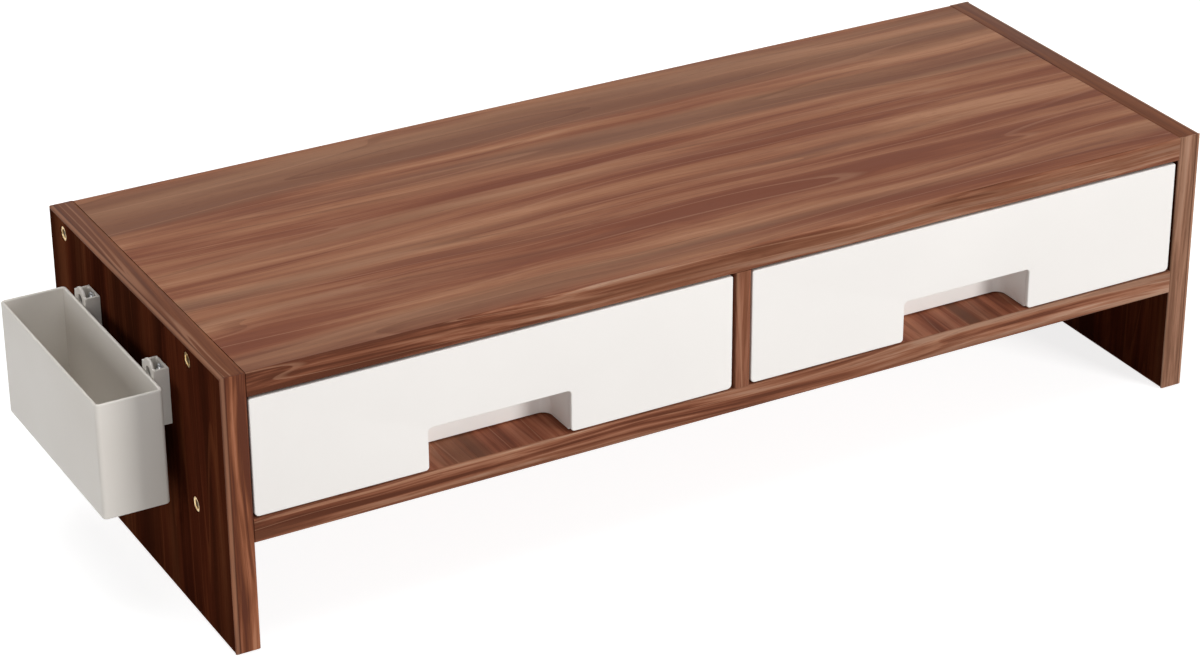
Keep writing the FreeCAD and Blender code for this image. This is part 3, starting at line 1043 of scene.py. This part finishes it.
@dataclass(frozen=True)
class BoardScrews(Assembly):
    """Board screws with a flat head, a hexagon socket and a coarse thread."""

    drop: float = 7.5
    rows: tuple[float, float] = (-63.0, 83.0)
    sink: float = 0.4
    head: float = 3.8
    head_height: float = 2.4
    head_ease: float = 0.5
    shank: float = 2.0
    length: float = 40.0
    plain: float = 4.0
    point: float = 2.0
    pitch: float = 3.0
    thread: float = 0.45
    socket: float = 2.0
    socket_depth: float = 1.8
    # Depth and play of the dark plug that paints the shade in the socket
    shade_plug_from: float = 0.55
    shade_plug_play: float = 0.02
    around: int = 48
    shank_steps: int = 150

    def screw(self) -> Skin:
        """One screw along +x with the middle of its head's face at the origin.

        The rings run from the socket's floor out over the head and down the shank. A socket ring's radius
        is its apothem over the cosine of the angle to the nearest flat; a thread ring's radius rises and
        falls once a turn, and shifts by one turn for each pitch of length.

        Returns:
            The skin.
        """
        angle = np.arange(self.around) * (2 * math.pi / self.around)
        flat = np.cos((angle + math.pi / 6) % (math.pi / 3) - math.pi / 6)
        socket = np.array(
            [
                (self.socket * 0.02, self.socket_depth + 0.5),
                (self.socket * 0.9, self.socket_depth),
                (self.socket, self.socket_depth - 0.2),
                (self.socket, 0.3),
                (self.socket + 0.2, 0.0),
            ]
        )
        socket_rings = revolved(socket, self.around)
        socket_rings[..., 1:] /= flat[None, :, None]
        rim = quarter(self.head_ease, 4) * (-1.0, 1.0) + (self.head, 0.0)
        under = [(self.head, self.head_height - 0.1), (self.head - 0.1, self.head_height)]
        head_rings = revolved(np.concatenate([rim, under]), self.around)
        run = np.linspace(self.head_height, self.length - self.point, self.shank_steps)
        fade = np.clip((run - self.head_height - self.plain) / 2.0, 0.0, 1.0)
        shank_rings = revolved(np.stack([np.full(run.shape, self.shank), run], 1), self.around)
        phase = (run[:, None] / self.pitch + angle[None, :] / (2 * math.pi)) % 1.0
        groove = np.clip(1.6 * np.abs(2 * phase - 1) - 0.3, 0.0, 1.0)
        share = 1 - (self.thread / self.shank) * (1 - groove) * fade[:, None]
        shank_rings[..., 1:] *= share[..., None]
        tip = np.array([(self.shank * 0.6, self.length - 0.6), (self.shank * 0.4, self.length)])
        return loft(np.concatenate([socket_rings, head_rings, shank_rings, revolved(tip, self.around)]))

    def socket_shade_plug(self) -> Skin:
        """Hexagonal dark plug in the socket: painted shade that stands for the shadow deep in the recess.

        Returns:
            The skin.
        """
        angle = np.arange(6) * (math.pi / 3) + math.pi / 6
        across = (self.socket - self.shade_plug_play) / math.cos(math.pi / 6)
        plane = np.stack([np.cos(angle), np.sin(angle)], 1) * across
        rings = [np.column_stack([np.full(6, x), plane]) for x in (self.shade_plug_from, self.socket_depth)]
        return loft(np.stack(rings))

    def build(self) -> None:
        """Makes the four screws of each side panel."""
        size = self.layout
        rows = [(y, z) for z in (size.height - self.drop, size.shelf_top - self.drop) for y in self.rows]
        for name, side in SIDES.items():
            way = np.array([-side, -side, 1.0])
            places = [np.array([side * (size.half_width - self.sink), y, z]) for y, z in rows]
            node = f"side_screws_{name}"
            # The dark socket plugs are painted shade for the recess
            parts = (("screws", self.screw(), Finish.GOLD), ("socket_shades", self.socket_shade_plug(), Finish.SOCKET_SHADE))
            for part, skin, finish in parts:
                skins = [Skin(skin.points * way + place, skin.faces) for place in places]
                piece = f"board_{part}_{name}"
                self.bench.add(piece, skins, finish, "stand", node, "yellow_zinc_screw", 30.0)


@dataclass(frozen=True)
class FootPads(Assembly):
    """Foam pads stuck under the ends of both side panels."""

    width: float = 8.0
    length: float = 20.0
    inset: float = 12.0
    corner: float = 1.5
    ease: float = 0.25

    def build(self) -> None:
        """Makes the four pads."""
        size = self.layout
        skins = []
        for side in SIDES.values():
            middle = side * (size.half_width - size.board / 2)
            x = (middle - self.width / 2, middle + self.width / 2)
            for way in (-1.0, 1.0):
                end = -way * (size.front + self.inset)
                y = tuple(sorted((end, end - way * self.length)))
                plan = Outline(rectangle(x, y, [self.corner] * 4))
                skins.append(carried(plan, eased_ends(-size.pad_height, 0.0, self.ease), Axis.Z))
        self.bench.add("pads", skins, Finish.FOAM, "stand", "foot_pads", "foam_pad")


@dataclass(frozen=True)
class Drawer(Assembly):
    """A drawer: moulded front with its finger pocket and snap hooks, and the tray behind it."""

    side_gap: float = 1.2
    top_gap: float = 1.0
    bottom_gap: float = 0.8
    thickness: float = 3.0
    upper_corner: float = 1.0
    lower_corner: float = 2.4
    edge: float = 0.6
    to_left: float = 0.6
    notch: float = 36.0
    notch_height: float = 21.2
    notch_corner: float = 2.0
    mouth_corner: float = 1.8
    pocket_depth: float = 23.5
    pocket_corner: float = 5.0
    pocket_wall: float = 2.0
    plan_ahead: float = 9.0
    snap_width: float = 8.0
    snap_arm: float = 1.6
    snap_barb: float = 1.0
    snap_lead: float = 3.0
    snap_play: float = 0.2
    snap_rows: tuple[tuple[float, float], ...] = ((79.5, -1.0), (106.0, 1.0))
    snap_x: float = 95.0
    tray_wall: float = 2.0

    @property
    def low(self) -> float:
        """Height of the front's lower edge."""
        return self.layout.shelf_top + self.bottom_gap

    def plate(self) -> Skin:
        """Front plate: its outline carried back, with the visible edge rounded by a quarter circle.

        Returns:
            The skin.
        """
        size = self.layout
        half = size.bay_width / 2 - self.side_gap
        low, high, top = self.low, size.bay_top - self.top_gap, self.low + self.notch_height
        corners = [
            (-half, low, self.lower_corner),
            (-self.notch, low, self.mouth_corner),
            (-self.notch, top, self.notch_corner),
            (self.notch, top, self.notch_corner),
            (self.notch, low, self.mouth_corner),
            (half, low, self.lower_corner),
            (half, high, self.upper_corner),
            (-half, high, self.upper_corner),
        ]
        rim = quarter(self.edge, 6) + (0.0, size.front)
        back = size.front + self.thickness
        stations = np.concatenate([rim, [(0.0, back - 0.1), (0.1, back)]])
        return carried(Outline(corners, 8), stations, Axis.Y)

    def pocket_side(self, grow: float) -> np.ndarray:
        """Points of the pocket's inner or outer surface, up its U-shaped wall and over onto its roof.

        The wall's plan is three sides of a rounded rectangle. The last rings move inwards and up along a
        quarter circle, which rounds the edge between wall and roof.

        Args:
            grow: Distance from the inner surface, 0 or the wall's thickness.

        Returns:
            Points as an (m, n, 3) array, from the lower edge to the roof.
        """
        size = self.layout
        front = size.front + self.thickness
        half = self.notch + grow
        rear = size.front + self.pocket_depth + grow
        corner = self.pocket_corner + grow
        # The plan's front corners aren't used, and lie clear of the plate
        plan = Outline(rectangle((-half, half), (front - corner - self.plan_ahead, rear), [corner] * 4), 10)
        top = self.low + self.notch_height + grow
        radius = self.notch_corner + grow
        angle = np.linspace(0.0, math.pi / 2, 7)
        insets = np.concatenate([[0.0], radius * (1 - np.cos(angle))])
        heights = np.concatenate([[self.low], top - radius + radius * np.sin(angle)])
        rings = []
        for inset, height in zip(insets, heights):
            loop = plan.ring(inset)
            half_loop = loop[len(loop) // 2 :]
            ends = np.array([(half - inset, front), (inset - half, front)])
            path = np.concatenate([ends[:1], half_loop, ends[1:]])
            rings.append(np.column_stack([path, np.full(len(path), height)]))
        return np.stack(rings)

    def pocket(self) -> Skin:
        """Thin wall between the pocket's inner and outer surface, closed along its lower and front edges.

        Returns:
            The skin.
        """
        inner = self.pocket_side(0.0)
        outer = self.pocket_side(self.pocket_wall)
        rows, columns, _ = inner.shape
        count = rows * columns
        index = np.arange(count).reshape(rows, columns)
        rim = np.concatenate([index[::-1, 0], index[0, 1:-1], index[:, -1]])
        faces = grid_faces(rows, columns, False) + grid_faces(rows, columns, False, count)
        faces += np.stack([rim[:-1], rim[1:], rim[1:] + count, rim[:-1] + count], 1).tolist()
        roof = index[-1]
        faces += [roof.tolist(), (roof + count).tolist()]
        faces.append([int(i) for i in (roof[0], roof[-1], roof[-1] + count, roof[0] + count)])
        return Skin(np.concatenate([inner, outer]).reshape(-1, 3), faces)

    def snap_hook(self, x: float, z: float, way: float) -> Skin:
        """Arm with a barb at its end, its side view carried along x.

        Args:
            x: Middle of the arm.
            z: Middle height of the arm.
            way: 1 for a barb that points up and -1 for one that points down.

        Returns:
            The skin.
        """
        root = self.layout.front + self.thickness - 0.3
        catch = self.layout.front + self.thickness + self.tray_wall + self.snap_play
        tip = catch + self.snap_lead
        half = self.snap_arm / 2
        rise = half + self.snap_barb
        side = [
            (root, -half, 0.1),
            (tip, -half, 0.2),
            (tip, half, 0.2),
            (catch, rise, 0.1),
            (catch, half, 0.1),
            (root, half, 0.1),
        ]
        corners = [(y, z + way * height, radius) for y, height, radius in side]
        ordered = corners if way > 0 else corners[::-1]
        span = eased_ends(x - self.snap_width / 2, x + self.snap_width / 2, 0.1, 2)
        return carried(Outline(ordered, 3), span, Axis.X)

    def build(self) -> None:
        """Makes both drawers."""
        hooks = [self.snap_hook(x, z, way) for x in (-self.snap_x, self.snap_x) for z, way in self.snap_rows]
        for name, side in SIDES.items():
            move = np.array([side * self.layout.bay_middle - self.to_left, 0.0, 0.0])
            body = f"drawer_{name}"
            node = f"drawer_front_{name}"
            for part, skins in (("front", [self.plate()]), ("pocket", [self.pocket()]), ("hooks", hooks)):
                placed = [Skin(skin.points + move, skin.faces) for skin in skins]
                piece = f"drawer_{part}_moulding_{name}"
                self.bench.add(piece, placed, Finish.WHITE, body, node, "white_plastic", 50.0)
            self.bench.dress(f"drawer_tray_{name}", Finish.WHITE, 0.35)


@dataclass(frozen=True)
class PenBox(Assembly):
    """Pen box with rounded rim and corners and its two hooks, and the clips that carry it."""

    length: float = 117.5
    height: float = 57.5
    rim: float = 113.5
    middle: float = 5.8
    wall: float = 1.6
    floor: float = 2.0
    corner: float = 2.2
    base_round: float = 1.2
    inner_round: float = 1.4
    clip_spacing: float = 81.0
    clip_wall: float = 1.3
    sill: float = 99.0
    gap: float = 0.3
    hook_width: float = 7.0
    hook_neck: float = 2.6
    hook_drop: float = 6.0
    hook_thickness: float = 1.8
    screw_height: float = 113.8
    screw_head: float = 2.5
    screw_rise: float = 1.6
    screw_shank: float = 1.45
    screw_length: float = 10.0
    screw_point: float = 2.5
    cross_arm: float = 0.32
    cross_reach: float = 1.3
    cross_depth: float = 0.9

    @property
    def clip_rows(self) -> tuple[float, float]:
        """Y of the middles of both clips."""
        return self.middle - self.clip_spacing / 2, self.middle + self.clip_spacing / 2

    def shell(self) -> Skin:
        """Open box: a profile from under the base, up the outside, over the rim and down to the floor.

        Returns:
            The skin.
        """
        size = self.layout
        base = self.rim - self.height
        wall_x = -size.half_width - size.pen_gap
        half = self.length / 2
        x = (wall_x - size.pen_box_width, wall_x)
        corners = rectangle(x, (self.middle - half, self.middle + half), [self.corner] * 4)
        turn = np.linspace(0.0, math.pi, 9)
        outside = quarter(self.base_round, 5) + (0.0, base)
        over = self.wall / 2 * np.stack([1 - np.cos(turn), np.sin(turn)], 1) + (0.0, self.rim - self.wall / 2)
        down = quarter(self.inner_round, 5)[:, ::-1] + (self.wall, base + self.floor)
        return carried(Outline(corners, 10), np.concatenate([outside, over, down]), Axis.Z)

    def hook(self, y: float) -> Skin:
        """Hook: its side view, a neck out of the box's wall and a tongue down, carried along y.

        Args:
            y: Middle of the hook.

        Returns:
            The skin.
        """
        size = self.layout
        wall = -size.half_width - size.pen_gap - self.wall / 2
        front = -size.half_width - size.clip_depth + self.clip_wall + self.gap
        back = front + self.hook_thickness
        rest = self.sill + self.gap
        tip = rest - self.hook_drop
        corners = [
            (wall, rest, 0.1),
            (front, rest, 0.15),
            (front, tip, 0.6),
            (back, tip, 0.4),
            (back, rest + self.hook_neck, 0.7),
            (wall, rest + self.hook_neck, 0.1),
        ]
        span = eased_ends(y - self.hook_width / 2, y + self.hook_width / 2, 0.1, 2)
        return carried(Outline(corners, 5), span, Axis.Y)

    def clip_screw(self, y: float) -> Skin:
        """Round-headed screw with a cross recess, head towards -x.

        The head is a dome of rings, and the cross sinks it where a point lies within the arms of a plus.

        Args:
            y: Middle of the screw.

        Returns:
            The skin.
        """
        share = np.linspace(0.0, 1.0, 22)[1:]
        dome = np.stack([self.screw_head * share, -self.screw_rise * np.sqrt(1 - (0.92 * share) ** 2)], 1)
        under = np.array([(self.screw_head, -0.05), (self.screw_head - 0.1, 0.0), (self.screw_shank, 0.0)])
        shank = np.array([(self.screw_shank, self.screw_length - self.screw_point), (0.2, self.screw_length)])
        rings = revolved(np.concatenate([[(0.02, -self.screw_rise)], dome, under, shank]), 48)
        across = np.abs(rings[: len(dome) + 1, :, 1:])
        arm = np.clip((self.cross_arm - across.min(-1)) / 0.1, 0.0, 1.0)
        reach = np.clip((self.cross_reach - across.max(-1)) / 0.25, 0.0, 1.0)
        rings[: len(dome) + 1, :, 0] += self.cross_depth * arm * reach
        place = np.array([-self.layout.half_width - self.clip_wall, y, self.screw_height])
        return loft(rings + place)

    def build(self) -> None:
        """Makes the pen box and the clip screws, and dresses the clips."""
        hooks = [self.hook(y) for y in self.clip_rows]
        for part, skins in (("shell", [self.shell()]), ("hooks", hooks)):
            piece = f"pen_box_{part}"
            self.bench.add(piece, skins, Finish.GREY, "pen_box", "pen_box", "grey_plastic", 50.0)
        screws = [self.clip_screw(y) for y in self.clip_rows]
        self.bench.add("clip_screws", screws, Finish.ZINC, "stand", "pen_clip_screws", "steel_screw", 35.0)
        self.bench.dress("pen_clip_front", Finish.GREY, 0.3)
        self.bench.dress("pen_clip_rear", Finish.GREY, 0.3)


# Room, lamps and camera


@dataclass(frozen=True)
class Lamp:
    """Soft square lamp aimed at a point. Lengths are in metres."""

    name: str
    place: tuple[float, float, float]
    aim: tuple[float, float, float]
    size: float
    watts: float

    def build(self) -> None:
        """Adds the lamp."""
        light = bpy.data.lights.new(self.name, "AREA")
        light.shape = "SQUARE"
        light.size = self.size
        light.energy = self.watts
        lamp = linked(self.name, light)
        lamp.location = self.place
        lamp.rotation_euler = (Vector(self.aim) - Vector(self.place)).to_track_quat("-Z", "Y").to_euler()


@dataclass(frozen=True)
class Studio:
    """Pale floor, white surroundings and plain soft lamps."""

    ambient: float = 0.11
    reach: float = 6.0
    lift: float = 0.8
    lamps: tuple[Lamp, ...] = (
        Lamp("key", (1.45, -2.85, 1.15), (0.02, 0.0, 0.08), 1.0, 63.0),
        Lamp("front_fill", (-0.45, -2.3, 0.5), (0.0, 0.0, 0.08), 1.0, 9.0),
        Lamp("overhead", (-0.1, 0.1, 1.7), (0.0, 0.0, 0.1), 1.5, 16.0),
        Lamp("left_fill", (-2.0, 0.1, 0.6), (0.0, 0.0, 0.08), 1.0, 10.0),
    )

    def background_rays(self, tree: bpy.types.NodeTree) -> bpy.types.NodeSocket:
        """1 for rays that see the surroundings directly, in a mirror or through glass.

        Args:
            tree: Tree that gets the nodes.

        Returns:
            The value.
        """
        path = add_node(tree, "LightPath").node.outputs
        seen = path["Is Camera Ray"]
        for kind in ("Is Glossy Ray", "Is Transmission Ray"):
            seen = add_node(tree, "Math", {0: seen, 1: path[kind]}, operation="MAXIMUM")
        return seen

    def floor_material(self) -> bpy.types.Material:
        """Pale floor, lifted to white for the camera, that keeps the object's shadow.

        Returns:
            The material.
        """
        material = bpy.data.materials.new("pale_floor")
        tree = emptied(material)
        seen = self.background_rays(tree)
        paint = add_node(tree, "BsdfDiffuse", {"Color": linear("D0D0D0")})
        lift = add_node(tree, "Math", {0: seen, 1: self.lift}, operation="MULTIPLY")
        glow = add_node(tree, "Emission", {"Color": (1.0, 1.0, 1.0, 1.0), "Strength": lift})
        both = add_node(tree, "AddShader", {0: paint, 1: glow})
        add_node(tree, "OutputMaterial", {"Surface": both})
        return material

    def build(self) -> None:
        """Adds the floor, the world and the lamps."""
        corners = np.array([(-1, -1, 0), (1, -1, 0), (1, 1, 0), (-1, 1, 0)]) * self.reach
        mesh = bpy.data.meshes.new("floor")
        mesh.from_pydata(corners.tolist(), [], [[0, 1, 2, 3]])
        mesh.materials.append(self.floor_material())
        linked("floor", mesh)
        world = bpy.data.worlds.new("white_surroundings")
        tree = emptied(world)
        seen = self.background_rays(tree)
        span = {0: seen, 1: 0.0, 2: 1.0, 3: self.ambient, 4: 1.0}
        strength = add_node(tree, "MapRange", span)
        sky = add_node(tree, "Background", {"Color": (1.0, 1.0, 1.0, 1.0), "Strength": strength})
        add_node(tree, "OutputWorld", {"Surface": sky})
        bpy.context.scene.world = world
        for lamp in self.lamps:
            lamp.build()


@dataclass(frozen=True)
class Viewpoint:
    """Camera in front of the stand, to its left and above. Lengths are in metres and angles in degrees."""

    place: tuple[float, float, float] = (-0.7291, -1.3176, 0.8288)
    azimuth: float = 28.94
    elevation: float = 27.125
    roll: float = -0.283
    lens: float = 104.29
    sensor: float = 36.0

    def build(self) -> None:
        """Adds the camera, which looks along its azimuth and down by its elevation, rolled about its axis."""
        data = bpy.data.cameras.new("camera")
        data.lens = self.lens
        data.sensor_width = self.sensor
        camera = linked("camera", data)
        turns = ((-self.azimuth, "Z"), (90.0 - self.elevation, "X"), (self.roll, "Z"))
        azimuth, tilt, roll = (Matrix.Rotation(math.radians(angle), 4, axis) for angle, axis in turns)
        camera.matrix_world = Matrix.Translation(self.place) @ azimuth @ tilt @ roll
        bpy.context.scene.camera = camera


def main() -> None:
    """Loads the frame, builds every sub-assembly round it, and sets up the room and the camera."""
    logging.basicConfig(level=logging.INFO, format="%(message)s")
    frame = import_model()
    layout = Layout()
    bench = Bench(frame, layout)
    for assembly in (BoardWork, BoardScrews, FootPads, Drawer, PenBox):
        assembly(layout, bench).build()
    Studio().build()
    Viewpoint().build()
    bpy.context.scene.view_settings.view_transform = "Standard"


if __name__ == "__main__":
    main()
